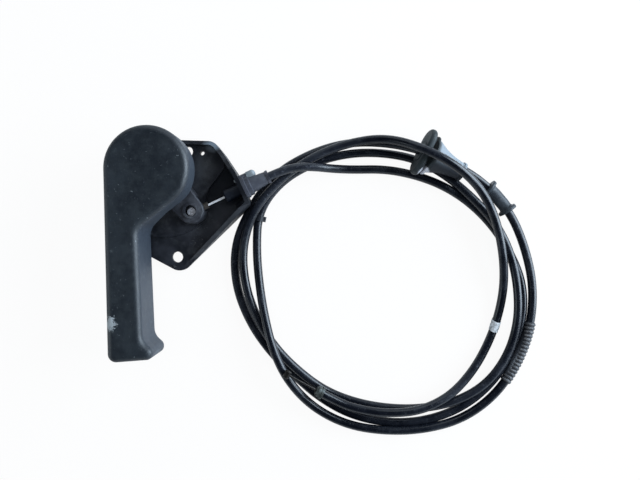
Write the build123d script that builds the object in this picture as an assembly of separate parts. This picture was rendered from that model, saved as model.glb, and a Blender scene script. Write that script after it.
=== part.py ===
"""Hood release handle: a pull lever on a moulded bracket, with its coiled Bowden cable.

Millimetres. The origin is on the lever's pivot axis at the bracket's flat back face. +Z points
out of the panel towards the hand, +Y is up the handle's head and -Y runs down its grip.
The bracket's back face lies on z = 0, and the cable lies coiled beside it on the same plane.
"""

import math
import os

from build123d import *

# Handle
FACE_Z = 45.0  # height of the handle's front face
FACE_WALL = 3.0
SKIRT_WALL = 2.6
EDGE_R = 3.8  # rounding of the front face's edge
HEAD_R = 25.2
SHOULDER_R = 18.0  # rounding of the head's lower right side
SHOULDER_AT = (6.4, -4.0)
THROAT_ANGLE = 38.0  # slope of the head's underside
THROAT_R = 9.0
GRIP_LENGTH = 114.4  # from the pivot to the grip's lower end
GRIP_LEFT_X = -22.4
GRIP_THROAT_X = -4.8
GRIP_WAIST = (-1.9, -101.5)  # where the grip begins to flare into its toe
TOE = (4.1, -106.8)
TOE_END = (3.4, -112.4)
HEAD_SKIRT_Z = 25.0
GRIP_SKIRT_Z = 14.5
SKIRT_STEP_Y = (-26.0, -36.0)
RIB = 1.6
RIB_YS = (-34.0, -50.0, -66.0, -82.0, -98.0)
RIB_Z = 27.0

# Lever, pivot and travel
LEVER_Z = 5.0
ARM_TOP_Z = 19.0
HUB_R = 11.5
ARM_ROOT_R = 10.8  # arm and tongue where they leave the hub
HUB_TOP_Z = 20.0
WELL_R = 8.6  # open well over the hub, where the pin's ring is pushed on
PIN_R = 4.0
PIN_CLEARANCE = 0.05
ARM_R = 32.2  # from the pivot to the cable nipple
ARM_END_R = 8.0
ARM_EDGE_R = 0.9
CABLE_ANGLE = 25.0
HALF_STROKE = 16.5
REST_ANGLE = CABLE_ANGLE - 90 + HALF_STROKE
TONGUE_R = 5.5
TONGUE_Z = 28.0
TONGUE_BEND = (-14.2, -32.0)
TONGUE_END = (-13.1, -84.0)
TONGUE_WALL = 2.4
SEAT_GAP = 0.3  # between the handle's ribs and the tongue
PIN_TOP_Z = 22.6
PIN_LEAD_IN = 0.6
PIN_FLANGE_R = 7.0
PIN_FLANGE_Z = (1.4, 2.6)
WASHER_R = 8.0
WASHER_T = 0.8
RING_R = 6.6
RING_T = 0.8
RING_GROOVE_R = 3.3
RING_TEETH = 6
RING_CUT_DEPTH = 1.6
RING_CUT_WIDTH = 0.8
STOP_R = (12.8, 16.5)
STOP_HEIGHT = 4.0
TAB_ANGLE = 100.0
TAB_WIDTH = 4.0
LUG_WIDTH = 3.5
LUG_SPACING = 17.5  # degrees from the tab's middle to a lug's middle at the stop

# Bracket
PLATE_T = 3.0
PLATFORM_Z = 4.5
PLATFORM_R = 40.5
PLATFORM_INSET = 0.6
PIVOT_PAD_R = 11.5
PIVOT_PAD_Z = 4.9
WALL = 2.5
WALL_Z = 20.5
RIM_SHOULDER_Z = 7.5
RIM_FROM_X = 7.5  # the rim stands right of here
RIM_RUN = (14.0, 38.0, 62.0)  # along the wall: where the rim begins to drop, its shoulder, its end
WALL_DROP = (3.0, 3.0, 16.0)  # past the wall's lower end: first drop, its run, the run down to the plate
WEB_AT = -7.4  # side of the cable axis on which a web braces the wall
WEB_REACH = 8.0
WEB_TOP_Z = 16.5
SINK = 0.4  # how far one moulded form runs into the next
BEYOND = 90.0  # past every edge of the bracket and the handle
SCREW_R = 3.5
LOWER_SCREW = (9.8, -53.3)
UPPER_SCREW = (16.5, 14.5)
LOCATOR_R = 1.4
LOCATOR = (26.0, 13.6)
PLATE_CORNERS = [(-24.0, 23.2, 21.0), (34.0, 20.8, 9.0), (41.5, 11.5, 9.0)]
LOWER_CORNERS = [(12.6, -63.9, 8.4), (-22.0, -45.5, 8.0)]
WALL_REACH = (10.2, 10.5)  # the cable wall's outer face, above and below the cable axis
WALL_END_R = 2.6
BAY = [(43.5, 8.0), (30.3, -9.1), (27.5, -20.0), (28.5, -33.0), (60.0, -60.0), (75.0, 8.0)]

# Cable end fitting, along the cable axis from the nipple
CABLE_Z = 13.0
FERRULE_START = 22.5
FERRULE_R = 4.1
FERRULE_LEAD_IN = 0.7
WALL_FACE = 35.5
FLANGE_R = 7.0
FLANGE_T = 2.0
COLLAR_R = 6.3
EAR_T = 4.8
EAR_R = 2.3
BODY_R = (5.2, 3.9)
BODY_END = 51.5
CRIMP_T = 1.6
CRIMP_R = 4.4
WIRE_R = 0.7
WIRE_BORE_R = 1.0
WIRE_START = 2.0  # inside the nipple, from its axis
WIRE_END = 44.0
FIT_GAP = 0.1
PEG_LEFT = 6.2
PEG_R = 1.2
PEG_TIP = 1.5  # past the wall
PEG_LEAD_IN = 0.5
PEG_HEAD_R = 2.6
PEG_HEAD_T = 5.8
PEG_ROUNDING = 2.2

# Nipple
CAST_EDGE = 0.4  # bevel of the cast nipples
NIPPLE_R = 2.7
NIPPLE_SOCKET_R = 3.5
NIPPLE_Z = (8.5, 17.5)
STEM_R = 2.1
STEM_END = 10.8
SLOT_HALF = 3.2
SLOT_TOP_Z = 15.6
SOCKET_RING_R = 4.9
SOCKET_RING_T = 0.9

# Cable sheath, coil and the pieces on it
SHEATH_R = 2.75
SHEATH_GAP = 0.05  # round the sheath in what sits on it
LEAD_START = 10.0  # straight out of the end fitting
LEAD_ROUTE = [(88.5, 3.9, 13.6), (99.5, 4.4, 11.2), (109.5, 4.2, 6.4)]
COIL_CENTRE = (143.7, -71.3)
COIL_HEIGHT = 9.2
COIL_OUTER = [97.3, 94.5, 90.5, 95.2, 102.0, 100.8, 98.2, 88.4, 92.0, 96.3, 101.3, 100.8]
COIL_INNER = [73.0, 74.0, 72.6, 72.0, 82.0, 88.0, 78.4, 78.0, 75.4, 75.4, 76.2, 73.3]
COIL_CLEARANCE = 0.5
GROMMET_AT = (166.9, 12.9, 14.2)
GROMMET_ANGLE = -25.5
GROMMET_PITCH = -12.0
GROMMET_FLANGE = (31.0, 17.0)  # across and up
GROMMET_LIP = (26.0, 14.6)
GROMMET_NECK_R = 6.6  # what the bulkhead's hole closes on
GROMMET_FLANGE_T = 4.4
GROMMET_GROOVE_T = 1.8
GROMMET_LIP_T = 1.6
GROMMET_RIMS = (1.9, 0.6)  # rounding of the flange and of the lip
GROMMET_NOSE = [(11.0, 6.6), (9.8, 9.2), (8.7, 11.6), (7.8, 14.2), (6.7, 18.5), (6.0, 23.0), (5.6, 26.8)]
GROMMET_BEAD = (6.3, 1.4)  # the bead that ends the nose
SLEEVE_AT = (207.6, -9.4, 6.4)
SLEEVE_ANGLE = -43.5
SLEEVE_LENGTH = 20.0
SLEEVE_R = 4.1
SLEEVE_FLANGE_R = 6.1
SLEEVE_FLANGE_T = 2.6
SLEEVE_EDGE = 0.4
SLEEVE_BORE_GAP = 0.1
TAPE_AT = (214.4, -97.2)
TAPE_ANGLE = -107.0
TAPE_LENGTH = 7.0
TAPE_T = 0.25
RIBBED_RADIUS = 97.6
RIBBED_ARC = (-13.0, -38.6)
RIBBED_R = 3.2
RIBBED_PITCH = 3.2
RIBBED_RIDGE_R = 3.7
RIBBED_RIDGE_T = 1.7
CLIP_AT = (62.2, -30.0)
CLIP_ANGLE = 78.0
CLIP_R = 3.5
CLIP_LENGTH = 3.4
CLIP_NUB_R = 1.0

# Far end of the cable
FAR_RIM = (103.3, -138.9, 13.7)
FAR_ANGLE = 150.0
FAR_PITCH = 7.0  # the stiff end stretch rises off the coil
FAR_FERRULE_R = 3.6
FAR_FERRULE_LENGTH = 4.8
FAR_TAPER = 1.4
FAR_RIM_R = 4.1
FAR_RIM_T = 1.4
FAR_WIRE_TAIL = 1.0
FAR_FREE = 21.3
FAR_NIPPLE_R = 2.1
FAR_NIPPLE_LENGTH = 5.0
TAIL_STRAIGHT = 13.5
TAIL_BORE = 15.4
TAIL_ROUTE = [(127.6, -149.4, 9.0), (139.8, -150.6, 5.2)]

# Worked out
STROKE = 2 * HALF_STROKE
WIRE_TRAVEL = 2 * ARM_R * math.sin(math.radians(HALF_STROKE))
NIPPLE_OFFSET = ARM_R * (1 - math.cos(math.radians(HALF_STROKE))) / 2


def polar(radius, degrees, centre=(0.0, 0.0)):
    """The point at a radius and an angle about a centre."""
    turn = math.radians(degrees)
    return centre[0] + radius * math.cos(turn), centre[1] + radius * math.sin(turn)


SOCKET = polar(ARM_R, REST_ANGLE)
NIPPLE = polar(NIPPLE_OFFSET, CABLE_ANGLE - 90, SOCKET)


def axis_place(at, degrees, pitch=0.0):
    """A frame at a point whose Z runs at an angle and a pitch, with X to its left and Y up."""
    turn = math.radians(degrees)
    along = (math.cos(turn), math.sin(turn), 0)
    left = (-math.sin(turn), math.cos(turn), 0)
    return Plane(origin=at, x_dir=left, z_dir=along).location * Rot(-pitch, 0, 0)


CABLE = axis_place((*NIPPLE, CABLE_Z), CABLE_ANGLE)
FAR = axis_place(FAR_RIM, FAR_ANGLE, FAR_PITCH)


def rod(radius, start, end):
    """A cylinder on the local Z axis from one height to another."""
    upward = (Align.CENTER, Align.CENTER, Align.MIN)
    return Pos(0, 0, start) * Cylinder(radius, end - start, align=upward)


def turned(*outline):
    """A solid turned about the local Z axis from (radius, height) points."""
    face = make_face(Plane.XZ * Polyline([(r, z) for r, z in outline], close=True))
    return revolve(face, Axis.Z)


def rounded_face(corners):
    """A closed outline of straight runs whose (x, y, radius) corners are rounded."""
    face = make_face(Polyline([(x, y) for x, y, _ in corners], close=True))
    for x, y, radius in corners:
        if radius:
            corner = face.vertices().sort_by_distance((x, y, 0))[0]
            face = fillet(corner, radius)
    return face


def raised(face, low, high):
    """A flat face made into a solid between two heights."""
    return Pos(0, 0, low) * extrude(face, high - low)


def bar_between(a, b, radius_a, radius_b):
    """The face that two circles and their common tangents enclose."""
    circles = [Pos(*a) * Circle(radius_a), Pos(*b) * Circle(radius_b)]
    return make_hull([edge for circle in circles for edge in circle.edges()])


def at_radius(radii, width, low, high, degrees):
    """A block that points away from the pivot at an angle."""
    length = radii[1] - radii[0]
    block = Box(length, width, high - low, align=(Align.MIN, Align.CENTER, Align.MIN))
    return Rot(0, 0, degrees) * Pos(radii[0], 0, low) * block


def handle_outline():
    """Head, slanted throat and grip with its flared toe, seen from the front."""
    head = bar_between((0, 0), SHOULDER_AT, HEAD_R, SHOULDER_R)
    slope = math.radians(THROAT_ANGLE)
    tangent = polar(SHOULDER_R, THROAT_ANGLE - 90, SHOULDER_AT)
    run = (tangent[0] - GRIP_THROAT_X) / math.cos(slope)
    throat = (GRIP_THROAT_X, tangent[1] - run * math.sin(slope))
    grip = rounded_face(
        [
            (-HEAD_R, 0, 0),
            (GRIP_LEFT_X, -GRIP_LENGTH, 5.0),
            (*TOE_END, 3.9),
            (*TOE, 4.2),
            (*GRIP_WAIST, 9.0),
            (*throat, THROAT_R),
            (*tangent, 0),
            (*SHOULDER_AT, 0),
            (0, 0, 0),
        ]
    )
    return head + grip


def tongue_outline(grow=0.0):
    """The lever's tongue that carries the grip."""
    radius = TONGUE_R + grow
    upper = bar_between((0, 0), TONGUE_BEND, ARM_ROOT_R + grow, radius)
    return upper + bar_between(TONGUE_BEND, TONGUE_END, radius, radius)


def handle():
    """The moulded handle: a domed cap open at the back, with ribs that grip the tongue."""
    outline = handle_outline()
    shell = raised(outline, GRIP_SKIRT_Z, FACE_Z)
    shell = fillet(shell.faces().sort_by(Axis.Z)[-1].edges(), EDGE_R)
    inner_z = FACE_Z - FACE_WALL
    cavity = offset(outline, -SKIRT_WALL)
    shell -= raised(cavity, GRIP_SKIRT_Z - 1, inner_z)
    ribs = raised(Circle(HUB_R + SEAT_GAP + RIB), RIB_Z, inner_z)
    across = Box(4 * SHOULDER_R, RIB, inner_z - RIB_Z, align=(Align.CENTER, Align.CENTER, Align.MIN))
    for y in RIB_YS:
        ribs += Pos(0, y, RIB_Z) * across
    ribs &= raised(offset(outline, -SKIRT_WALL + 0.2), RIB_Z, inner_z)
    ribs -= raised(tongue_outline(SEAT_GAP) + Circle(HUB_R + SEAT_GAP), RIB_Z - 1, inner_z)
    shell += ribs
    y_high, y_low = SKIRT_STEP_Y
    step = [(BEYOND, 0), (BEYOND, HEAD_SKIRT_Z), (y_high, HEAD_SKIRT_Z), (y_low, GRIP_SKIRT_Z), (y_low, 0)]
    below = make_face(Plane.YZ * Polyline(step, close=True))
    return shell - extrude(below, BEYOND, both=True)


def release_lever():
    """Hub, nipple arm, stop tab and tongue, moulded in one piece."""
    arm = raised(bar_between((0, 0), SOCKET, ARM_ROOT_R, ARM_END_R), LEVER_Z, ARM_TOP_Z)
    arm = fillet(arm.faces().sort_by(Axis.Z)[-1].edges(), ARM_EDGE_R)
    inner_z = FACE_Z - FACE_WALL
    hub = rod(HUB_R, LEVER_Z, inner_z)
    tongue = raised(tongue_outline(), TONGUE_Z, inner_z)
    channel = bar_between(TONGUE_BEND, TONGUE_END, TONGUE_R - TONGUE_WALL, TONGUE_R - TONGUE_WALL)
    tongue -= raised(channel, TONGUE_Z, inner_z - TONGUE_WALL)
    socket_ring = Pos(*SOCKET) * rod(SOCKET_RING_R, ARM_TOP_Z - 1, ARM_TOP_Z + SOCKET_RING_T)
    tab = at_radius((HUB_R - 1, STOP_R[1]), TAB_WIDTH, LEVER_Z, LEVER_Z + STOP_HEIGHT, TAB_ANGLE)
    lever = arm + hub + tongue + tab + socket_ring
    lever -= rod(PIN_R + PIN_CLEARANCE, LEVER_Z, HUB_TOP_Z)
    lever -= rod(WELL_R, HUB_TOP_Z, inner_z)
    lever -= Pos(*SOCKET) * rod(NIPPLE_SOCKET_R, LEVER_Z, ARM_TOP_Z + SOCKET_RING_T)
    return lever - raised(wire_slot(), LEVER_Z, SLOT_TOP_Z)


def wire_slot():
    """The fan that the wire sweeps through the arm's end as the lever turns."""
    edges = []
    for degrees in (CABLE_ANGLE, CABLE_ANGLE + STROKE):
        strip = Rectangle(2 * ARM_END_R, 2 * SLOT_HALF, align=(Align.MIN, Align.CENTER))
        edges += (Pos(*SOCKET) * Rot(0, 0, degrees) * strip).edges()
    fan = make_hull(edges)
    behind = Rectangle(2 * ARM_END_R, 4 * ARM_END_R, align=(Align.MAX, Align.CENTER))
    return fan - Pos(*SOCKET) * Rot(0, 0, CABLE_ANGLE + HALF_STROKE) * behind


def plate_outline():
    """The bracket's plate, whose right side stands square to the cable."""
    middle = polar(WALL_FACE, CABLE_ANGLE, NIPPLE)
    high = polar(WALL_REACH[0], CABLE_ANGLE + 90, middle)
    low = polar(WALL_REACH[1], CABLE_ANGLE - 90, middle)
    right = [(*high, 0), (*low, WALL_END_R)]
    return rounded_face([*PLATE_CORNERS, *right, *LOWER_CORNERS])


def rim_height():
    """The rim's height along the plate's right side, as a slab square to the cable."""
    full, shoulder, end = RIM_RUN
    drop, drop_run, foot_run = WALL_DROP
    low = WALL_REACH[1]
    profile = [
        (-BEYOND, 0),
        (-BEYOND, PLATE_T),
        (-end, PLATE_T),
        (-shoulder, RIM_SHOULDER_Z),
        (-full, WALL_Z),
        (low, WALL_Z),
        (low + drop_run, WALL_Z - drop),
        (low + foot_run, PLATE_T),
        (BEYOND, PLATE_T),
        (BEYOND, 0),
    ]
    down = (*polar(1, CABLE_ANGLE - 90), 0)
    back = (*polar(1, CABLE_ANGLE + 180), 0)
    slab = Plane(origin=(*NIPPLE, 0), x_dir=down, z_dir=back) * Polyline(profile, close=True)
    return extrude(make_face(slab), BEYOND, both=True)


def wall_web():
    """A thin web that braces the cable wall, drawn along the cable and set beside it."""
    along = (*polar(1, CABLE_ANGLE), 0)
    across = (*polar(1, CABLE_ANGLE - 90), 0)
    frame = Plane(origin=CABLE.position, x_dir=along, z_dir=across)
    corners = [(0, PLATE_T), (0, WEB_TOP_Z), (-WEB_REACH, PLATE_T)]
    web = extrude(make_face(Polyline(corners, close=True)), RIB)
    return frame.location * Pos(WALL_FACE - WALL + SINK, -CABLE_Z, -WEB_AT - RIB / 2) * web


def bracket():
    """The moulded bracket: plate, bearing platform, raised rim, cable wall and stops."""
    outline = plate_outline()
    body = raised(outline, 0, PLATE_T)
    platform = Circle(PLATFORM_R) - make_face(Polyline(BAY, close=True))
    platform = (platform & offset(outline, -PLATFORM_INSET)).face()
    body += raised(platform, PLATE_T - SINK, PLATFORM_Z)
    rim = raised(outline - offset(outline, -WALL), 0, WALL_Z) & rim_height()
    right_side = Box(2 * BEYOND, 2 * BEYOND, BEYOND, align=(Align.MIN, Align.CENTER, Align.CENTER))
    body += (rim & Pos(RIM_FROM_X, 0, 0) * right_side) + wall_web()
    body += rod(PIVOT_PAD_R, PLATE_T, PIVOT_PAD_Z)
    for degrees in (TAB_ANGLE + LUG_SPACING, TAB_ANGLE - STROKE - LUG_SPACING):
        body += at_radius(STOP_R, LUG_WIDTH, PLATE_T, PLATFORM_Z + STOP_HEIGHT, degrees)
    for spot, radius in ((LOWER_SCREW, SCREW_R), (UPPER_SCREW, SCREW_R), (LOCATOR, LOCATOR_R)):
        body -= Pos(*spot) * rod(radius, -1, PLATFORM_Z + 1)
    for left, radius in ((0, FERRULE_R), (PEG_LEFT, PEG_R)):
        body -= CABLE * Pos(left, 0, 0) * rod(radius + FIT_GAP, WALL_FACE - 3 * WALL, WALL_FACE + 1)
    return body - pivot_pin()


def pivot_pin():
    """The steel pin moulded into the bracket, with a flange below and a ring groove on top."""
    low, high = PIN_FLANGE_Z
    groove = HUB_TOP_Z + FIT_GAP + WASHER_T
    return turned(
        (0, low),
        (PIN_FLANGE_R, low),
        (PIN_FLANGE_R, high),
        (PIN_R, high),
        (PIN_R, groove),
        (RING_GROOVE_R, groove),
        (RING_GROOVE_R, groove + RING_T),
        (PIN_R, groove + RING_T),
        (PIN_R, PIN_TOP_Z - PIN_LEAD_IN),
        (PIN_R - PIN_LEAD_IN, PIN_TOP_Z),
        (0, PIN_TOP_Z),
    )


def thrust_washer():
    """The flat washer between the hub and the ring."""
    low = HUB_TOP_Z + FIT_GAP
    return rod(WASHER_R, low, low + WASHER_T) - rod(PIN_R + FIT_GAP, low, low + WASHER_T)


def retaining_ring():
    """The push-on ring: a flat disc with cut teeth that bite in the pin's groove."""
    low = HUB_TOP_Z + FIT_GAP + WASHER_T
    ring = rod(RING_R, low, low + RING_T) - rod(RING_GROOVE_R, low, low + RING_T)
    cut = (RING_GROOVE_R - 0.5, RING_GROOVE_R + RING_CUT_DEPTH)
    for step in range(RING_TEETH):
        ring -= at_radius(cut, RING_CUT_WIDTH, low, low + RING_T, step * 360 / RING_TEETH)
    return ring


def conduit_end():
    """The sheath's moulded end fitting: nose through the wall, flange, eared collar, tapered body."""
    wall_in = WALL_FACE
    flange_end = wall_in + FLANGE_T
    collar_end = wall_in + EAR_T
    fitting = turned(
        (0, FERRULE_START),
        (FERRULE_R - FERRULE_LEAD_IN, FERRULE_START),
        (FERRULE_R, FERRULE_START + FERRULE_LEAD_IN),
        (FERRULE_R, wall_in),
        (FLANGE_R, wall_in),
        (FLANGE_R, flange_end),
        (COLLAR_R, flange_end + 0.4),
        (COLLAR_R, collar_end),
        (BODY_R[0], collar_end + 0.5),
        (BODY_R[1], BODY_END),
        (0, BODY_END),
    )
    ear = bar_between((0, 0), (PEG_LEFT, 0), COLLAR_R - EAR_R, EAR_R)
    fitting += raised(ear, wall_in, collar_end)
    fitting -= rod(WIRE_BORE_R, FERRULE_START - 1, BODY_END + 1)
    fitting -= Pos(PEG_LEFT, 0, 0) * rod(PEG_R + FIT_GAP, wall_in - 1, collar_end)
    head_room = Pos(PEG_LEFT, 0, 0) * rod(PEG_HEAD_R + FIT_GAP, collar_end, collar_end + PEG_HEAD_T + 1)
    return CABLE * (fitting - head_room)


def retaining_peg():
    """The pale peg that pins the fitting's ear to the wall, with its domed head."""
    tip = WALL_FACE - WALL - PEG_TIP
    neck = WALL_FACE + EAR_T
    shank = rod(PEG_R, tip, neck + SINK)
    shank = chamfer(shank.edges().filter_by(GeomType.CIRCLE).sort_by(Axis.Z)[0], PEG_LEAD_IN)
    head = rod(PEG_HEAD_R, neck, neck + PEG_HEAD_T)
    head = fillet(head.edges().filter_by(GeomType.CIRCLE).sort_by(Axis.Z)[-1], PEG_ROUNDING)
    return CABLE * Pos(PEG_LEFT, 0, 0) * (shank + head)


def crimp_ring():
    """The light ring that closes the fitting on the sheath."""
    end = BODY_END + CRIMP_T
    return CABLE * (rod(CRIMP_R, BODY_END, end) - rod(SHEATH_R + SHEATH_GAP, BODY_END, end))


def cable_nipple():
    """The cast barrel that lies in the arm's socket, with the stem that holds the wire."""
    low, high = NIPPLE_Z
    barrel = chamfer(rod(NIPPLE_R, low, high).edges().filter_by(GeomType.CIRCLE), CAST_EDGE)
    nipple = Pos(*NIPPLE) * barrel + CABLE * rod(STEM_R, 1, STEM_END)
    return nipple - CABLE * rod(WIRE_R, WIRE_START, STEM_END + 1)


def pull_wire():
    """The wire's end stretch, from the nipple's stem into the fitting."""
    return CABLE * rod(WIRE_R, WIRE_START, WIRE_END)


def tube_along(points, radius):
    """A round bar on straight runs joined by the largest tangent arcs that the runs allow."""
    runs = [Vector(*b) - Vector(*a) for a, b in zip(points, points[1:])]
    radii = []
    for one, two in zip(runs, runs[1:]):
        half = math.radians(one.get_angle(two) / 2)
        radii.append(0.45 * min(one.length, two.length) / math.tan(half))
    path = FilletPolyline(*points, radius=radii)
    start = Plane(origin=points[0], z_dir=runs[0])
    tube = sweep(start * Circle(radius), path=path)
    share = tube.volume / (math.pi * radius**2 * path.length)
    rounded = [round(r, 1) for r in radii]
    print("tube radii", rounded, "length", round(path.length, 1), "volume share", round(share, 4))
    return tube


def cable_lead():
    """The sheath from the end fitting down to the coil."""
    straight = [tuple((CABLE * Pos(0, 0, BODY_END + step)).position) for step in (0, LEAD_START)]
    return tube_along([*straight, *LEAD_ROUTE], SHEATH_R)


def cable_coil():
    """The coil as one closed ring with its uneven inner and outer outline."""
    rings = []
    for radii in (COIL_OUTER, COIL_INNER):
        step = 360 / len(radii)
        points = [polar(radius, index * step, COIL_CENTRE) for index, radius in enumerate(radii)]
        rings.append(make_face(Spline(points, periodic=True)))
    coil = raised(rings[0], 0, COIL_HEIGHT) - raised(rings[1], 0, COIL_HEIGHT)
    coil -= raised(offset(plate_outline(), COIL_CLEARANCE), 0, COIL_HEIGHT)
    return coil - CABLE * rod(FLANGE_R + COIL_CLEARANCE, WALL_FACE - 1, BODY_END + CRIMP_T + 2)


def cable_tail():
    """The sheath's last stretch, rising off the coil into the far ferrule."""
    back = FAR * Pos(0, 0, -TAIL_STRAIGHT)
    tail = tube_along([FAR_RIM, tuple(back.position), *TAIL_ROUTE], SHEATH_R)
    return tail - FAR * rod(WIRE_BORE_R, -TAIL_BORE, 1)


def oval(size, low, high, edge):
    """An oval disc across the local Z axis, with rounded rims."""
    disc = raised(SlotOverall(*size), low, high)
    return fillet(disc.edges().group_by(Axis.Z)[0] + disc.edges().group_by(Axis.Z)[-1], edge)


def firewall_grommet():
    """The rubber grommet: an oval flange, the panel groove, an oval lip and a long flared nose."""
    groove = GROMMET_FLANGE_T / 2
    lip = groove + GROMMET_GROOVE_T
    bead_r, bead_t = GROMMET_BEAD
    nose_end = GROMMET_NOSE[-1][1]
    end = nose_end + 0.4 + bead_t
    back = -groove - SINK
    body = turned(
        (0, back),
        (GROMMET_NECK_R, back),
        (GROMMET_NECK_R, lip + SINK),
        (GROMMET_NOSE[0][0], lip + SINK),
        *GROMMET_NOSE,
        (bead_r, nose_end + 0.4),
        (bead_r, end),
        (0, end),
    )
    body += oval(GROMMET_FLANGE, -groove, groove, GROMMET_RIMS[0])
    body += oval(GROMMET_LIP, lip, lip + GROMMET_LIP_T, GROMMET_RIMS[1])
    body -= rod(SHEATH_R + SHEATH_GAP, 2 * back, 2 * end)
    return axis_place(GROMMET_AT, GROMMET_ANGLE, GROMMET_PITCH) * body


def guide_sleeve():
    """The short plastic sleeve with a flange at each end."""
    sleeve = rod(SLEEVE_R, 0, SLEEVE_LENGTH)
    for low in (0, SLEEVE_LENGTH - SLEEVE_FLANGE_T):
        flange = rod(SLEEVE_FLANGE_R, low, low + SLEEVE_FLANGE_T)
        sleeve += chamfer(flange.edges().filter_by(GeomType.CIRCLE), SLEEVE_EDGE)
    sleeve -= rod(SHEATH_R + SLEEVE_BORE_GAP, -1, SLEEVE_LENGTH + 1)
    return axis_place(SLEEVE_AT, SLEEVE_ANGLE) * sleeve


def tape_band():
    """The turn of blank tape round one strand."""
    bore = SHEATH_R + SHEATH_GAP
    half = TAPE_LENGTH / 2
    band = rod(bore + TAPE_T, -half, half) - rod(bore, -half, half)
    return axis_place((*TAPE_AT, bore + TAPE_T), TAPE_ANGLE) * band


def arc_bar(radius, start, end):
    """A round bar on the coil's outermost turn, from one angle to another."""
    upright = Plane(origin=(RIBBED_RADIUS, 0, RIBBED_RIDGE_R), x_dir=(1, 0, 0), z_dir=(0, -1, 0))
    bar = revolve(upright * Circle(radius), Axis.Z, end - start)
    return Pos(*COIL_CENTRE, 0) * Rot(0, 0, start) * bar


def ribbed_sleeve():
    """The corrugated anti-rattle sleeve: square ridges at an even pitch along a bent tube."""
    end, start = RIBBED_ARC
    step, ridge = (math.degrees(along / RIBBED_RADIUS) for along in (RIBBED_PITCH, RIBBED_RIDGE_T))
    count = round((end - start) / step)
    sleeve = arc_bar(RIBBED_R, start, start + count * step)
    for index in range(count):
        middle = start + (index + 0.5) * step
        sleeve += arc_bar(RIBBED_RIDGE_R, middle - ridge / 2, middle + ridge / 2)
    return sleeve - arc_bar(SHEATH_R + SHEATH_GAP, start - step, end + step)


def sheath_clip():
    """The small clip with a nub on one strand."""
    clip = rod(CLIP_R, 0, CLIP_LENGTH) + Pos(-CLIP_R, 0, 0) * rod(CLIP_NUB_R, 0, CLIP_LENGTH)
    clip -= rod(SHEATH_R + SHEATH_GAP, -1, CLIP_LENGTH + 1)
    return axis_place((*CLIP_AT, CLIP_R), CLIP_ANGLE) * clip


def far_ferrule():
    """The steel cap on the sheath's far end, with its bright rim."""
    cap = turned(
        (WIRE_BORE_R, 0),
        (FAR_RIM_R, 0),
        (FAR_RIM_R, FAR_RIM_T),
        (FAR_FERRULE_R, FAR_RIM_T),
        (FAR_FERRULE_R, FAR_FERRULE_LENGTH - FAR_TAPER),
        (FAR_FERRULE_R - FAR_TAPER, FAR_FERRULE_LENGTH),
        (WIRE_BORE_R, FAR_FERRULE_LENGTH),
    )
    return FAR * cap


def far_wire():
    """The wire's bare stretch at the far end."""
    start = FAR_FERRULE_LENGTH - FAR_WIRE_TAIL
    return FAR * rod(WIRE_R, start, FAR_FERRULE_LENGTH + FAR_FREE)


def far_nipple():
    """The cast barrel at the wire's far end, set across the wire."""
    barrel = Rot(0, 90, 0) * Cylinder(FAR_NIPPLE_R, FAR_NIPPLE_LENGTH)
    barrel = chamfer(barrel.edges().filter_by(GeomType.CIRCLE), CAST_EDGE)
    centre = FAR_FERRULE_LENGTH + FAR_FREE - 0.5
    barrel = Pos(0, 0, centre) * barrel
    return FAR * (barrel - rod(WIRE_R, centre - 5, FAR_FERRULE_LENGTH + FAR_FREE))


PIECES = [
    bracket,
    pivot_pin,
    thrust_washer,
    retaining_ring,
    conduit_end,
    retaining_peg,
    crimp_ring,
    handle,
    release_lever,
    cable_nipple,
    pull_wire,
    cable_lead,
    cable_coil,
    cable_tail,
    firewall_grommet,
    guide_sleeve,
    tape_band,
    ribbed_sleeve,
    sheath_clip,
    far_ferrule,
    far_wire,
    far_nipple,
]

os.makedirs("parts", exist_ok=True)
for piece in PIECES:
    export_step(piece(), f"parts/{piece.__name__}.step")
print("stroke", STROKE, "wire travel", round(WIRE_TRAVEL, 3), "nipple offset", round(NIPPLE_OFFSET, 3))
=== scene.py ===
"""Looks of the hood release handle: camera, light, its coiled cable and the finish of every piece."""

import bmesh
import bpy
import numpy as np
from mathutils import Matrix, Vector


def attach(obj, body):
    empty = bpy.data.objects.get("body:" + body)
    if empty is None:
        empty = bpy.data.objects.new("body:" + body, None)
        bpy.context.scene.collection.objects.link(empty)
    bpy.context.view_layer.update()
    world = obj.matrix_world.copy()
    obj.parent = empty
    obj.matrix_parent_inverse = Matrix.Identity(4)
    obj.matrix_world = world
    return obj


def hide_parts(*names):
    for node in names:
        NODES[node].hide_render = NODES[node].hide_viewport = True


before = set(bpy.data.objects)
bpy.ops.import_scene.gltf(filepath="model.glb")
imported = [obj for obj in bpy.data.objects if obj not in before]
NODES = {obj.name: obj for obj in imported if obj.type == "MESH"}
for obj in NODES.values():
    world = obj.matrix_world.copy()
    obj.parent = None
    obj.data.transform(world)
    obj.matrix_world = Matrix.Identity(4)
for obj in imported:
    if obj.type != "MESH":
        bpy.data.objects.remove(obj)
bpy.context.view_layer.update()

MM = 0.001  # the lengths here are in millimetres, apart from those marked as metres

# Camera: straight above, at the photograph's distance
EYE = (101.75, -42.3, 420.0)
FOCAL_PIXELS = 646.0
FRAME_PIXELS = 640.0
SENSOR_MM = 36.0
CLIP = (0.01, 20.0)  # metres

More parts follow.
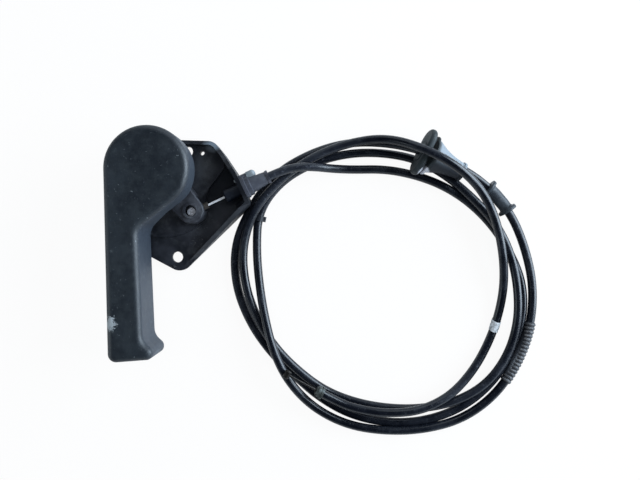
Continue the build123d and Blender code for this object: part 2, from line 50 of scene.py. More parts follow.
# Light
FLOOR_HALF = 8.0  # metres
FLOOR_DROP = 0.0003  # metres under what rests on it
FLOOR_PALENESS = 0.72
FLOOR_WHITE_SHARE = 0.93
MIRRORED_SHARE = 0.32  # of the white, where gloss mirrors the floor
SKY_COLOUR = (0.74, 0.87, 1.0)
SKY_HEIGHTS = (0.15, 0.70)  # on the unit sphere, where the bright horizon ends and the dim top begins
SKY_STRENGTHS = (1.05, 0.06)
SIDE_REACH = (-0.8, 0.9)  # across the unit sphere, from the left to the right
SIDE_STRENGTHS = (0.45, 1.65)
LAMPS = [  # name, place in metres, size, watts, colour
    ("right_window", (0.85, 0.15, 0.30), 0.75, 18.0, (0.72, 0.86, 1.0)),
    ("top_softbox", (0.05, 0.80, 0.60), 0.60, 1.5, (0.86, 0.94, 1.0)),
    ("left_window", (-0.70, -0.20, 0.40), 0.50, 1.5, (0.80, 0.92, 1.0)),
]
CEILING = ("ceiling", (0.10, -0.04, 1.30), 1.20, 9.0, (0.90, 0.95, 1.0))  # left out of what gloss mirrors
LAMP_AIM = (0.09, -0.05, 0.0)  # metres

# Cable
SHEATH_R = 2.75
SHEATH_ROUNDING = 6  # gives its section 16 sides
CURVE_STEPS = 8  # between two points of the route
PATH_STEPS = 16  # the same, where pieces are carried along it
LEAD = [  # from the end fitting to the coil
    (68.29, -2.96, 13.0),
    (77.35, 1.27, 13.0),
    (88.5, 3.9, 13.6),
    (99.5, 3.9, 11.2),
    (109.5, 3.3, 6.4),
    (123.0, 3.1, 2.75),
]
TAIL = [  # from the coil to the far ferrule
    (127.6, -149.4, 12.3),
    (115.0, -145.7, 12.2),
    (103.3, -138.9, 13.7),
]
COIL_CENTRE = (143.7, -71.3)
COIL_FROM = 90.0  # where the lead joins the coil, in degrees about its centre
COIL_STEP = 15.0  # turn between two points of the coil
COIL_RADII = [  # at each step, clockwise; a row is half a turn
    74.1, 73.0, 73.8, 75.6, 78.5, 82.8, 88.6, 91.2, 92.3, 93.2, 92.6, 90.7,
    88.2, 86.0, 83.4, 82.0, 85.1, 90.0, 95.8, 99.8, 99.4, 100.0, 97.0, 94.5,
    90.5, 87.6, 87.9, 90.5, 91.8, 92.2, 94.6, 96.5, 98.0, 99.6, 98.9, 95.4,
    92.9, 92.2, 90.2, 86.2, 81.6, 78.8, 80.1, 85.2, 93.8, 94.2, 90.8, 87.5,
    84.6, 83.0, 80.0, 78.2, 79.9, 81.5, 83.4, 86.8, 89.2, 89.5, 86.2, 81.8,
    78.4, 77.2, 77.4, 77.5, 80.2, 84.1, 89.3, 94.2, 96.4, 95.0, 93.6, 93.1,
    92.3, 86.6, 84.3, 83.2, 79.3, 75.6, 75.3, 75.2, 76.0, 78.2, 80.9, 81.1, 79.8,
]
COIL_HEIGHTS = [  # (degrees of turn, height): where a turn climbs over the grommet or another turn
    (0, 2.75), (345, 2.75), (360, 8.0), (371, 14.9), (378, 13.4), (392, 9.0), (405, 6.4),
    (420, 6.4), (435, 5.0), (450, 3.9), (495, 3.9), (505, 3.6), (520, 4.2), (555, 5.6),
    (568, 6.4), (578, 9.5), (588, 12.6), (600, 14.3), (610, 13.2), (620, 11.3), (632, 5.2),
    (640, 2.75), (735, 2.75), (750, 4.0), (765, 7.4), (780, 8.5), (810, 8.3), (855, 7.9),
    (870, 6.2), (885, 4.4), (925, 4.4), (945, 7.1), (960, 7.8), (990, 6.6), (1020, 8.0),
    (1050, 8.0), (1065, 9.5), (1080, 16.6), (1095, 27.4), (1111, 26.4), (1125, 19.4), (1140, 14.2),
    (1150, 13.8), (1160, 11.8), (1170, 6.5), (1180, 3.2), (1205, 3.2), (1230, 8.6), (1245, 12.2),
    (1260, 12.3),
]

# Pieces carried along the cable, each placed by degrees of turn
UP = (0.0, 0.0, 1.0)
COLUMNS = 40  # points to a ring
TANGENT_SPAN = 0.8
BORE_GAP = 0.05
RIBBED_TURN = (464.4, 488.8)
RIBBED_PITCH = 2.5
RIBBED_ROWS = 10  # to a ridge
RIDGE_R = 3.7
RIDGE_FULLNESS = 0.7  # under 1 makes the ridges broader than their grooves
GROOVE_R = 3.1
SLEEVE_TURN = 406.3
SLEEVE_PROFILE = [  # (distance along, radius)
    (0.0, 6.0), (0.9, 6.1), (1.8, 5.9), (2.3, 4.4), (3.2, 4.0), (6.0, 4.1),
    (14.0, 4.1), (16.8, 4.0), (17.7, 4.4), (18.2, 5.9), (19.1, 6.1), (20.0, 6.0),
]
TAPE_TURN = 1190.1
TAPE_LENGTH = 7.0
TAPE_SLANT = 1.2
TAPE_ROWS = 15
TAPE_LIFT = 0.22
TAPE_CROWN = 0.10
TAPE_WRINKLE = 0.05
TAPE_PHASE = 7.0  # of the wrinkles, in radians from the tape's middle to its end

# Marks on the pieces: a place and its reach along each axis
EDGE_SCUFF = (-20.4, -91.0, 44.0), (5.4, 6.8, 12.0)
SIDE_SCUFF = (-19.3, -48.7, 45.0), (3.0, 3.0, 6.0)
TOE_PALE_PATCH = (2.5, -110.5, 30.0), (9.0, 8.0, 22.0)
PLATE_TOP_DUST = (27.0, 6.0, 3.0), (15.0, 20.0, 12.0)
PLATE_FOOT_DUST = (20.0, -36.0, 3.0), (22.0, 20.0, 12.0)
# a painted highlight on the bracket's upper rim
RIM_HIGHLIGHT = (33.5, 17.6, 9.0), (8.0, 5.5, 7.0)
ARM_FLAKES = (26.0, -31.0, 4.0), (9.0, 7.0, 9.0)
FOOT_FLAKES = (24.0, -44.0, 3.0), (9.0, 6.0, 8.0)
# a painted highlight on the grommet's lip end
LIP_END_HIGHLIGHT = (166.2, -0.6, 9.0), (7.0, 8.0, 22.0)
# a painted sheen on the cable's lead
LEAD_SHEEN = LEAD[1], (38.0, 30.0, 60.0)

# Borders on the pieces: a point, the direction past it and the fade
# painted shade in the bracket's pocket, between the plate's slope and the rim
POCKET_SHADE_LEFT = (36.9, -0.5, 0.0), (0.79, -0.61, 0.0), 0.6
POCKET_SHADE_FOOT = (30.0, -19.0, 0.0), (0.0, 1.0, 0.0), 6.0
# painted shade on the fitting's nose
FITTING_NOSE_SHADE = (52.6, -10.3, 13.0), (-0.906, -0.423, 0.0), 1.5
NIPPLE_STEM = (24.25, -23.5, 13.0), (0.906, 0.423, 0.0), 0.5
GROMMET_NOSE = (172.2, 10.4, 13.1), (0.883, -0.421, -0.208), 1.2
# painted light on the grommet nose's upper side
NOSE_LIT_SIDE = (180.0, 7.5, 12.0), (0.40, 0.84, 0.36), 4.0

# Plain mouldings: the colours of clean and of worn plastic, roughness and share of dust
MOULDINGS = {
    "guide_plastic": ((0.012, 0.0165, 0.0215), (0.030, 0.036, 0.044), 0.42, 0.30),
    "lever_plastic": ((0.0140, 0.0150, 0.0195), (0.0420, 0.0440, 0.0530), 0.45, 0.40),
    "peg_plastic": ((0.12, 0.138, 0.148), (0.24, 0.265, 0.285), 0.45, 0.3),
    "clip_plastic": ((0.006, 0.007, 0.010), (0.016, 0.018, 0.024), 0.40, 0.25),
}

# Metals: the colours of bare and of stained metal, roughness, depth of pits, share of stains, metallic share
METALS = {
    "steel": ((0.40, 0.40, 0.41), (0.14, 0.13, 0.12), 0.32, 0.02, 0.4, 0.9),
    "wire": ((0.70, 0.70, 0.72), (0.42, 0.41, 0.40), 0.35, 0.004, 0.2, 0.4),
    "crimp_metal": ((0.10, 0.10, 0.12), (0.03, 0.03, 0.035), 0.4, 0.02, 0.4, 0.9),
    "ferrule_metal": ((0.060, 0.068, 0.066), (0.018, 0.017, 0.013), 0.45, 0.03, 0.8, 0.5),
    "greasy_wire": ((0.035, 0.032, 0.030), (0.012, 0.010, 0.008), 0.4, 0.02, 0.6, 0.9),
}

# Sockets of a Mix node that mixes colours
MIX_SHARE = 0
MIX_LOW = 6
MIX_HIGH = 7
MIX_RESULT = 2


def in_metres(millimetres):
    """A place or sizes in metres."""
    return tuple(size * MM for size in millimetres)


class Value:
    """A shader socket that takes part in expressions: each operator adds its Math node."""

    def __init__(self, graph, socket):
        self.graph = graph
        self.socket = socket

    def _math(self, operation, *terms, clamp=False):
        return self.graph.node("ShaderNodeMath", {"operation": operation, "use_clamp": clamp}, terms)

    def __add__(self, other):
        return self._math("ADD", self, other)

    def __mul__(self, other):
        return self._math("MULTIPLY", self, other)

    def __rsub__(self, other):
        return self._math("SUBTRACT", other, self)

    __radd__ = __add__
    __rmul__ = __mul__

    def clamped(self):
        """The value held between 0 and 1."""
        return self._math("ADD", self, 0.0, clamp=True)

    def at_least(self, other):
        """The larger of two values."""
        return self._math("MAXIMUM", self, other)

    def step(self, low, high, start=0.0, end=1.0):
        """One number below low, another above high, and a smooth change between them."""
        settings = {"interpolation_type": "SMOOTHSTEP", "clamp": True}
        return self.graph.node("ShaderNodeMapRange", settings, (self, low, high, start, end))


class Graph:
    """The node tree of a material or of the world."""

    def __init__(self, owner):
        owner.use_nodes = True
        self.owner = owner
        self.tree = owner.node_tree
        self.tree.nodes.clear()

    def node(self, kind, settings=None, inputs=(), output=0):
        """Adds a node, with settings, and inputs by place or by name, and gives one of its outputs."""
        made = self.tree.nodes.new(kind)
        for key, value in (settings or {}).items():
            setattr(made, key, value)
        pairs = inputs.items() if isinstance(inputs, dict) else enumerate(inputs)
        for key, value in pairs:
            if isinstance(value, Value):
                self.tree.links.new(value.socket, made.inputs[key])
            elif value is not None:
                made.inputs[key].default_value = value
        return Value(self, made.outputs[output]) if made.outputs else None

    def vector(self, operation, first, second=None, output="Vector"):
        """A Vector Math node."""
        return self.node("ShaderNodeVectorMath", {"operation": operation}, (first, second), output)

    def place(self):
        """Object coordinates, in metres."""
        return self.node("ShaderNodeTexCoord", output="Object")

    def facing_up(self):
        """1 where the surface faces up, 0 on an upright wall."""
        normal = self.node("ShaderNodeTexCoord", output="Normal")
        return self.node("ShaderNodeSeparateXYZ", inputs=(normal,), output="Z")

    def ray(self, kind):
        """1 for light rays of one kind."""
        return self.node("ShaderNodeLightPath", output=kind)

    def noise(self, place, per_metre, detail=3.0, rough=0.55, stretch=(1.0, 1.0, 1.0)):
        """Cloudy noise, about 0.5, with features of 1 / per_metre."""
        scaled = self.vector("MULTIPLY", place, stretch)
        inputs = {"Vector": scaled, "Scale": per_metre, "Detail": detail, "Roughness": rough}
        return self.node("ShaderNodeTexNoise", {"noise_dimensions": "3D"}, inputs)

    def mix(self, share, low, high):
        """A colour between two colours."""
        low, high = (colour if isinstance(colour, Value) else (*colour, 1) for colour in (low, high))
        inputs = {MIX_SHARE: share, MIX_LOW: low, MIX_HIGH: high}
        return self.node("ShaderNodeMix", {"data_type": "RGBA"}, inputs, MIX_RESULT)

    def bump(self, height, depth_mm, strength=1.0, under=None):
        """A normal whose height runs from 0 to depth_mm as the value runs from 0 to 1."""
        inputs = {"Strength": strength, "Distance": depth_mm * MM, "Height": height, "Normal": under}
        return self.node("ShaderNodeBump", inputs=inputs)

    def finish(self, colour, roughness, normal=None, metallic=0.0, specular=0.3):
        """Adds the surface and gives the material."""
        inputs = {"Base Color": colour, "Roughness": roughness, "Normal": normal}
        inputs.update({"Metallic": metallic, "Specular IOR Level": specular})
        surface = self.node("ShaderNodeBsdfPrincipled", inputs=inputs)
        self.node("ShaderNodeOutputMaterial", inputs=(surface,))
        return self.owner


def new_graph(name):
    """An empty graph for a new material."""
    return Graph(bpy.data.materials.new(name))


def spot(graph, place, centre, reach):
    """1 at a point in millimetres, fading to 0 at its reach along each axis."""
    away = graph.vector("SUBTRACT", place, in_metres(centre))
    share = graph.vector("DIVIDE", away, in_metres(reach))
    return (1.0 - graph.vector("LENGTH", share, output="Value")).clamped()


def past(graph, place, point, direction, fade):
    """0 behind a plane through a point and 1 in front of it, over a fade, all in millimetres."""
    away = graph.vector("SUBTRACT", place, in_metres(point))
    depth = graph.vector("DOT_PRODUCT", away, direction, output="Value")
    return depth.step(-fade * MM, fade * MM)


def handle_finish():
    """Dark blue-grey grained plastic, cloudy, with painted light on its upright walls, a torn edge scuff and
    a paler patch at the toe.
    """
    g = new_graph("handle_plastic")
    place = g.place()
    haze = g.noise(place, 34, 5, 0.62).step(0.36, 0.68)
    mottle = g.noise(place, 210, 4, 0.7).step(0.35, 0.75)
    specks = g.noise(place, 1000, 2, 0.7).step(0.68, 0.80)
    colour = g.mix(haze, (0.0022, 0.0044, 0.0080), (0.0066, 0.0108, 0.0160))
    colour = g.mix(mottle * 0.34, colour, (0.0170, 0.0235, 0.0270))
    colour = g.mix(specks * 0.20, colour, (0.07, 0.08, 0.09))
    # painted light: the upright walls are painted paler, as if lit from the side
    wall = (1.0 - g.facing_up()).step(0.30, 1.0)
    colour = g.mix(wall * 0.6, colour, (0.032, 0.041, 0.056))
    torn = g.noise(place, 520, 4, 0.85)
    edge_scuff = (spot(g, place, *EDGE_SCUFF) + torn * 2.6).step(1.70, 1.86)
    side_scuff = (spot(g, place, *SIDE_SCUFF) + torn).step(1.15, 1.45)
    # a paler patch at the toe
    toe_pale_patch = (spot(g, place, *TOE_PALE_PATCH) + torn * 0.8).step(0.95, 1.30)
    scuff = (edge_scuff * 0.85 + side_scuff * 0.10 + toe_pale_patch * 0.12).clamped()
    colour = g.mix(scuff, colour, (0.30, 0.33, 0.35))
    normal = g.bump(g.noise(place, 2600, 2, 0.5), 0.035, 0.6)
    normal = g.bump(g.noise(place, 90, 3), 0.25, 0.35, normal)
    return g.finish(colour, 0.46 + haze * 0.10 + mottle * 0.06 + scuff * 0.2, normal, specular=0.58)


def moulded(graph, place, dark, light, rough, dust, grain_mm=0.03):
    """Colour, roughness and normal of moulded plastic, with cloudy wear, settled dust and fine grain."""
    wear = graph.noise(place, 70, 4, 0.6).step(0.4, 0.7)
    cloud = graph.noise(place, 110, 5, 0.72).step(0.48, 0.74)
    flakes = graph.noise(place, 1000, 2, 0.75).step(0.62, 0.76)
    settled = (cloud * 0.5 + cloud * flakes + flakes * 0.15).clamped()
    colour = graph.mix(wear, dark, light)
    colour = graph.mix(settled * dust, colour, (0.17, 0.18, 0.195))
    normal = graph.bump(graph.noise(place, 1900, 2), grain_mm, 0.6)
    return colour, rough + wear * 0.1 + settled * 0.25, normal


def plain_moulding(name, dark, light, rough, dust):
    """A piece of one moulded plastic all over."""
    g = new_graph(name)
    colour, roughness, normal = moulded(g, g.place(), dark, light, rough, dust)
    return g.finish(colour, roughness, normal)


def bracket_finish():
    """Black plastic with dust on the plate, pale flakes beside the lever's arm, painted shade in the pocket
    and a painted highlight on the rim.
    """
    g = new_graph("bracket_plastic")
    place = g.place()
    black, worn = (0.0060, 0.0070, 0.0100), (0.0160, 0.0175, 0.0235)
    colour, roughness, normal = moulded(g, place, black, worn, rough=0.38, dust=0.26)
    smear = g.noise(place, 130, 5, 0.8, (1.0, 0.6, 1.0))
    upper = (spot(g, place, *PLATE_TOP_DUST) * 0.8 + smear).step(0.75, 1.25)
    lower = (spot(g, place, *PLATE_FOOT_DUST) * 0.6 + smear).step(0.90, 1.40)
    colour = g.mix(upper * 0.18 + lower * 0.20, colour, (0.14, 0.155, 0.175))
    # painted shade: the pocket is painted near black
    pocket = past(g, place, *POCKET_SHADE_LEFT) * past(g, place, *POCKET_SHADE_FOOT)
    colour = g.mix(pocket * 0.85, colour, (0.0018, 0.0024, 0.0042))
    # painted highlight: a pale blue spot on the rim
    rim_highlight = (spot(g, place, *RIM_HIGHLIGHT) * 1.6).clamped()
    colour = g.mix(rim_highlight * 0.5, colour, (0.24, 0.30, 0.36))
    chips = g.noise(place, 1500, 2, 0.8).step(0.66, 0.74)
    beside_arm = spot(g, place, *ARM_FLAKES) + spot(g, place, *FOOT_FLAKES)
    colour = g.mix((chips * beside_arm * 1.6).clamped(), colour, (0.42, 0.42, 0.40))
    return g.finish(colour, roughness, normal, specular=0.4)


def fitting_finish():
    """Grey-blue weathered fitting whose nose, inside the bracket, is painted dark as shade."""
    g = new_graph("fitting_plastic")
    place = g.place()
    grey, worn = (0.034, 0.036, 0.047), (0.068, 0.072, 0.086)
    colour, roughness, normal = moulded(g, place, grey, worn, rough=0.45, dust=0.25)
    # painted shade on the nose inside the bracket
    shade = past(g, place, *FITTING_NOSE_SHADE)
    colour = g.mix(shade, colour, (0.0045, 0.0060, 0.0105))
    return g.finish(colour, roughness, normal)


def grommet_finish():
    """Rubber: a dark green-grey flange, a nose with painted light on its upper side and painted shade on its
    lower side, and a painted highlight on the lip's end.
    """
    g = new_graph("grommet_rubber")
    place = g.place()
    dark, worn = (0.0075, 0.0108, 0.0118), (0.018, 0.024, 0.027)
    colour, roughness, normal = moulded(g, place, dark, worn, rough=0.50, dust=0.12, grain_mm=0.06)
    nose = past(g, place, *GROMMET_NOSE)
    upper = past(g, place, *NOSE_LIT_SIDE)
    # painted light on the nose's upper side
    colour = g.mix(nose * upper * 0.9, colour, (0.19, 0.215, 0.24))
    # painted shade on the nose's lower side
    colour = g.mix(nose * (1.0 - upper) * 0.9, colour, (0.007, 0.009, 0.014))
    # painted highlight on the lip's lower end
    pale = (spot(g, place, *LIP_END_HIGHLIGHT) * 1.9 + g.noise(place, 300, 3) * 0.5).step(0.75, 1.0)
    colour = g.mix(pale * 0.9, colour, (0.50, 0.50, 0.54))
    return g.finish(colour, roughness, normal)


def sheath_finish():
    """Half-glossy extruded sheath, dull and scuffed in patches, with a painted sheen in paler patches on its
    lead.
    """
    g = new_graph("sheath")
    place = g.place()
    patches = g.noise(place, 30, 4, 0.65).step(0.40, 0.66)
    rubbed = g.noise(place, 420, 4, 0.75).step(0.52, 0.76)
    colour = g.mix(patches, (0.0018, 0.0025, 0.0050), (0.0072, 0.0090, 0.0140))
    colour = g.mix(rubbed * patches * 0.35, colour, (0.060, 0.067, 0.082))
    # painted sheen: paler patches on the lead
    lead = spot(g, place, *LEAD_SHEEN).step(0.0, 0.4)
    colour = g.mix(lead * (0.08 + rubbed * 0.45), colour, (0.075, 0.083, 0.105))
    normal = g.bump(g.noise(place, 260, 3), 0.12, 0.35)
    normal = g.bump(g.noise(place, 1500, 2), 0.02, 0.5, normal)
    return g.finish(colour, 0.19 + patches * 0.17 + rubbed * 0.22, normal, specular=0.42)


def ribbed_finish():
    """Grey sleeve with rubbed, pale specks on its ridges, darker in its grooves."""
    g = new_graph("ribbed_plastic")
    place = g.place()
    ridge = g.node("ShaderNodeAttribute", {"attribute_name": "ridge"}, output="Fac")
    worn = g.noise(place, 480, 4, 0.8).step(0.40, 0.68)
    # darker in the grooves than on the ridges
    colour = g.mix(ridge, (0.008, 0.009, 0.012), (0.040, 0.041, 0.045))
    colour = g.mix((ridge * worn).clamped() * 0.7, colour, (0.15, 0.147, 0.148))
    normal = g.bump(g.noise(place, 900, 3), 0.06, 0.7)
    return g.finish(colour, 0.45 + worn * 0.15, normal)


def metal_finish(name, bright, stain, rough, pitted_mm, stained, metallic):
    """Bare metal with stains in cloudy patches and fine pits."""
    g = new_graph(name)
    place = g.place()
    stains = g.noise(place, 420, 4, 0.7).step(0.45, 0.72)
    pits = g.noise(place, 1600, 3, 0.7)
    colour = g.mix(stains * stained, bright, stain)
    normal = g.bump(pits, pitted_mm, 0.8)
    return g.finish(colour, rough + stains * 0.2, normal, metallic=metallic)


def nipple_finish():
    """Rough cast zinc, with grease darkening the stem beside it."""
    g = new_graph("nipple_zinc")
    place = g.place()
    cast = g.noise(place, 900, 4, 0.75)
    colour = g.mix(cast.step(0.35, 0.70), (0.20, 0.205, 0.225), (0.42, 0.43, 0.47))
    stem = past(g, place, *NIPPLE_STEM)
    colour = g.mix(stem, colour, (0.035, 0.030, 0.026))
    return g.finish(colour, 0.5, g.bump(cast, 0.12, 0.9), metallic=0.1)


def tape_finish():
    """Dull light tape, rubbed through and grubby."""
    g = new_graph("tape")
    place = g.place()
    grime = g.noise(place, 420, 5, 0.8).step(0.42, 0.66)
    colour = g.mix(grime, (0.47, 0.485, 0.50), (0.20, 0.21, 0.22))
    normal = g.bump(g.noise(place, 500, 3), 0.15, 0.7)
    return g.finish(colour, 0.6, normal)


def dress(node, material):
    """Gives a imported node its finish."""
    piece = NODES[node]
    piece.data.materials.clear()
    piece.data.materials.append(material)


def set_camera():
    """Looks straight down at the point that lies at the photograph's centre."""
    lens = bpy.data.cameras.new("camera")
    lens.sensor_width = SENSOR_MM
    lens.lens = FOCAL_PIXELS / FRAME_PIXELS * SENSOR_MM
    lens.clip_start, lens.clip_end = CLIP
    camera = bpy.data.objects.new("camera", lens)
    camera.location = in_metres(EYE)
    bpy.context.scene.collection.objects.link(camera)
    bpy.context.scene.camera = camera


def add_lamp(name, place, size, watts, colour):
    """A square soft lamp that faces the object."""
    data = bpy.data.lights.new(name, "AREA")
    data.shape = "SQUARE"
    data.size = size
    data.energy = watts
    data.color = colour
    lamp = bpy.data.objects.new(name, data)
    lamp.location = place
    direction = [b - a for a, b in zip(place, LAMP_AIM)]
    lamp.rotation_mode = "QUATERNION"
    lamp.rotation_quaternion = Vector(direction).to_track_quat("-Z", "Y")
    bpy.context.scene.collection.objects.link(lamp)
    return lamp


def lay_floor():
    """A wide pale floor that looks white, less so in gloss, and keeps a faint shadow."""
    corners = [(x * FLOOR_HALF, y * FLOOR_HALF, -FLOOR_DROP) for x, y in ((-1, -1), (1, -1), (1, 1), (-1, 1))]
    mesh = bpy.data.meshes.new("floor")
    mesh.from_pydata(corners, [], [(0, 1, 2, 3)])
    floor = bpy.data.objects.new("floor", mesh)
    bpy.context.scene.collection.objects.link(floor)
    g = new_graph("floor")
    matt = g.node("ShaderNodeBsdfDiffuse", inputs=((*[FLOOR_PALENESS] * 3, 1),))
    white = g.node("ShaderNodeEmission")
    seen = g.ray("Is Camera Ray").at_least(g.ray("Is Transmission Ray"))
    share = (seen * FLOOR_WHITE_SHARE).at_least(g.ray("Is Glossy Ray") * MIRRORED_SHARE)
    mixed = g.node("ShaderNodeMixShader", inputs=(share, matt, white))
    g.node("ShaderNodeOutputMaterial", inputs=(mixed,))
    mesh.materials.append(g.owner)


def light_world():
    """Soft light, strong near the horizon and on the right, weak overhead, with white behind everything."""
    world = bpy.data.worlds.new("world")
    bpy.context.scene.world = world
    g = Graph(world)
    place = g.node("ShaderNodeTexCoord", output="Generated")
    across = g.node("ShaderNodeSeparateXYZ", inputs=(place,), output="X")
    height = g.node("ShaderNodeSeparateXYZ", inputs=(place,), output="Z")
    strength = height.step(*SKY_HEIGHTS, *SKY_STRENGTHS) * across.step(*SIDE_REACH, *SIDE_STRENGTHS)
    sky = g.node("ShaderNodeBackground", inputs=((*SKY_COLOUR, 1), strength))
    white = g.node("ShaderNodeBackground", inputs=((1, 1, 1, 1),))
    mixed = g.node("ShaderNodeMixShader", inputs=(g.ray("Is Camera Ray"), sky, white))
    g.node("ShaderNodeOutputWorld", inputs=(mixed,))


def coil_points():
    """The coil's points, one at each step of turn, clockwise from its start.

    place = centre + radius / cos(step / 2) * (cos(start - turn), sin(start - turn))

    The smooth line runs inside its points, so each radius is divided by the cosine of half a step.
    """
    turn = np.arange(len(COIL_RADII)) * COIL_STEP
    radius = np.array(COIL_RADII) / np.cos(np.radians(COIL_STEP / 2))
    height = np.interp(turn, *np.array(COIL_HEIGHTS).T)
    angle = np.radians(COIL_FROM - turn)
    x = COIL_CENTRE[0] + radius * np.cos(angle)
    y = COIL_CENTRE[1] + radius * np.sin(angle)
    return np.column_stack([x, y, height])


def cable_curve(name, bevel):
    """The cable's one smooth line, from the end fitting through the coil to the far ferrule."""
    points = np.vstack([LEAD, coil_points(), TAIL]) * MM
    data = bpy.data.curves.new(name, "CURVE")
    data.dimensions = "3D"
    data.resolution_u = CURVE_STEPS
    spline = data.splines.new("NURBS")
    spline.points.add(len(points) - 1)
    spline.points.foreach_set("co", np.column_stack([points, np.ones(len(points))]).ravel())
    spline.order_u = 3
    spline.use_endpoint_u = True
    data.bevel_depth = bevel
    data.bevel_resolution = SHEATH_ROUNDING
    data.use_fill_caps = bevel > 0
    curve = bpy.data.objects.new(name, data)
    bpy.context.scene.collection.objects.link(curve)
    return curve


def cable_path():
    """Points of the cable's smooth line, their distance along it and their turn in degrees."""
    curve = cable_curve("route", 0.0)
    curve.data.resolution_u = PATH_STEPS
    bpy.context.view_layer.update()
    mesh = bpy.data.meshes.new_from_object(curve.evaluated_get(bpy.context.evaluated_depsgraph_get()))
    flat = np.empty(len(mesh.vertices) * 3)
    mesh.vertices.foreach_get("co", flat)
    bpy.data.meshes.remove(mesh)
    bpy.data.objects.remove(curve)
    points = flat.reshape(-1, 3) / MM
    distance = np.concatenate([[0.0], np.cumsum(np.linalg.norm(np.diff(points, axis=0), axis=1))])
    away = points[:, :2] - COIL_CENTRE
    turn = COIL_FROM - np.degrees(np.unwrap(np.arctan2(away[:, 1], away[:, 0])))
    return points, distance, turn


def line_places(path, station):
    """Places on the cable's line at distances along it."""
    points, distance, _ = path
    return np.stack([np.interp(station, distance, points[:, axis]) for axis in range(3)], axis=-1)


def carried_surface(name, path, along, radius, slant=0.0, ridge=None):
    """A closed surface round the cable's line, as rings of points at distances along it.

    place = centre + radius * (side * cos(angle) + rise * sin(angle))

    The centre lies on the line, at the ring's distance plus slant * sin(angle). Side and rise are square to
    the line there. Two last rings at the bore close the surface.
    """
    along = np.concatenate([along, [along[-1], along[0]]])
    bore = SHEATH_R + BORE_GAP
    radius = np.concatenate([radius, [bore, bore]])
    angle = np.linspace(0.0, 2 * np.pi, COLUMNS, endpoint=False)
    station = along[:, None] + slant * np.sin(angle)[None, :]
    centre = line_places(path, station)
    tangent = line_places(path, station + TANGENT_SPAN) - line_places(path, station - TANGENT_SPAN)
    tangent /= np.linalg.norm(tangent, axis=-1, keepdims=True)
    side = np.cross(tangent, UP)
    side /= np.linalg.norm(side, axis=-1, keepdims=True)
    rise = np.cross(side, tangent)
    out = side * np.cos(angle)[None, :, None] + rise * np.sin(angle)[None, :, None]
    places = (centre + out * radius[:, None, None]) * MM
    rows = len(along)
    row, column = np.meshgrid(np.arange(rows), np.arange(COLUMNS), indexing="ij")
    here = row * COLUMNS + column
    beside = row * COLUMNS + (column + 1) % COLUMNS
    over = (row + 1) % rows * COLUMNS + column
    across = (row + 1) % rows * COLUMNS + (column + 1) % COLUMNS
    faces = np.stack([here, beside, across, over], axis=-1).reshape(-1, 4)
    mesh = bpy.data.meshes.new(name)
    mesh.from_pydata(places.reshape(-1, 3), [], faces)
    if ridge is not None:
        values = np.repeat(np.concatenate([ridge, [0.0, 0.0]]), COLUMNS)
        mesh.attributes.new("ridge", "FLOAT", "POINT").data.foreach_set("value", values)
    work = bmesh.new()
    work.from_mesh(mesh)
    bmesh.ops.recalc_face_normals(work, faces=work.faces)
    work.to_mesh(mesh)
    work.free()
    mesh.shade_smooth()
    piece = bpy.data.objects.new(name, mesh)
    bpy.context.scene.collection.objects.link(piece)
    return piece


def carry(piece, node, material):
    """Gives a carried piece its finish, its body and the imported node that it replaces."""
    piece.data.materials.append(material)
    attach(piece, "base")
    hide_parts(node)
    return piece


def ribbed_surface(path):
    """The corrugated sleeve, with one cosine to a ridge.

    radius = groove + (ridge - groove) * (0.5 - 0.5 * cos(2 * pi * phase)) ** fullness
    """
    _, distance, turn = path
    start, end = np.interp(RIBBED_TURN, turn, distance)
    ridges = round((end - start) / RIBBED_PITCH)
    phase = np.linspace(0.0, ridges, ridges * RIBBED_ROWS + 1)
    ridge = (0.5 - 0.5 * np.cos(2 * np.pi * phase)) ** RIDGE_FULLNESS
    along = start + (end - start) * phase / ridges
    radius = GROOVE_R + (RIDGE_R - GROOVE_R) * ridge
    return carried_surface("ribbed_jacket", path, along, radius, ridge=ridge)


def guide_surface(path):
    """The guide sleeve: a tube with a rounded flange at each end, as a profile carried along the cable."""
    _, distance, turn = path
    step, radius = np.array(SLEEVE_PROFILE).T
    start = np.interp(SLEEVE_TURN, turn, distance)
    return carried_surface("guide_tube", path, start + step, radius)


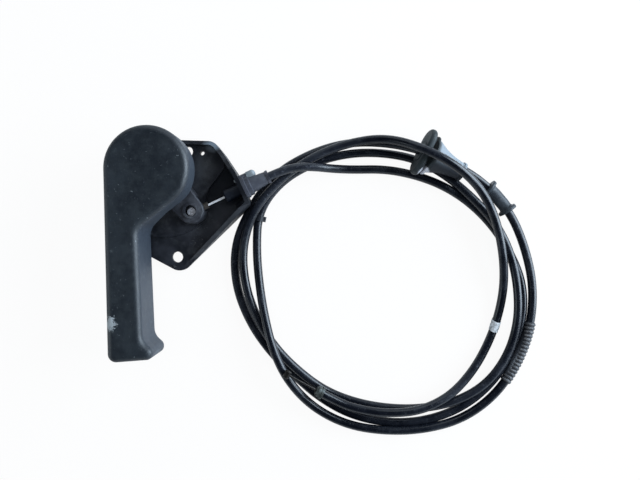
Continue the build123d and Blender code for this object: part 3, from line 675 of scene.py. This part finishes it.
def tape_surface(path):
    """One turn of wrinkled tape with slanted ends, whose share runs from -1 at one end to 1 at the other.

    radius = sheath + lift + crown * (1 - share ** 4) + wrinkle * sin(phase * share)
    """
    _, distance, turn = path
    share = np.linspace(-1.0, 1.0, TAPE_ROWS)
    along = np.interp(TAPE_TURN, turn, distance) + share * TAPE_LENGTH / 2
    crown = TAPE_CROWN * (1 - share**4)
    radius = SHEATH_R + TAPE_LIFT + crown + TAPE_WRINKLE * np.sin(TAPE_PHASE * share)
    return carried_surface("tape_turn", path, along, radius, slant=TAPE_SLANT)


def main():
    """Sets the view and the light, lays the cable and gives every piece its finish."""
    set_camera()
    lay_floor()
    light_world()
    for lamp in LAMPS:
        add_lamp(*lamp)
    add_lamp(*CEILING).visible_glossy = False

    cable = cable_curve("cable", SHEATH_R * MM)
    cable.data.materials.append(sheath_finish())
    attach(cable, "base")
    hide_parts("cable_lead", "cable_coil", "cable_tail")

    path = cable_path()
    looks = {name: plain_moulding(name, *numbers) for name, numbers in MOULDINGS.items()}
    looks.update({name: metal_finish(name, *numbers) for name, numbers in METALS.items()})
    ribbed = carry(ribbed_surface(path), "ribbed_sleeve", ribbed_finish())
    sleeve = carry(guide_surface(path), "guide_sleeve", looks["guide_plastic"])
    tape = carry(tape_surface(path), "tape_band", tape_finish())

    for node, material in {
        "handle": handle_finish(),
        "bracket": bracket_finish(),
        "release_lever": looks["lever_plastic"],
        "pivot_pin": looks["steel"],
        "thrust_washer": looks["steel"],
        "retaining_ring": looks["steel"],
        "conduit_end": fitting_finish(),
        "retaining_peg": looks["peg_plastic"],
        "crimp_ring": looks["crimp_metal"],
        "cable_nipple": nipple_finish(),
        "pull_wire": looks["wire"],
        "firewall_grommet": grommet_finish(),
        "sheath_clip": looks["clip_plastic"],
        "far_ferrule": looks["ferrule_metal"],
        "far_wire": looks["greasy_wire"],
        "far_nipple": looks["greasy_wire"],
    }.items():
        dress(node, material)

    bpy.context.scene.view_settings.view_transform = "Standard"


main()
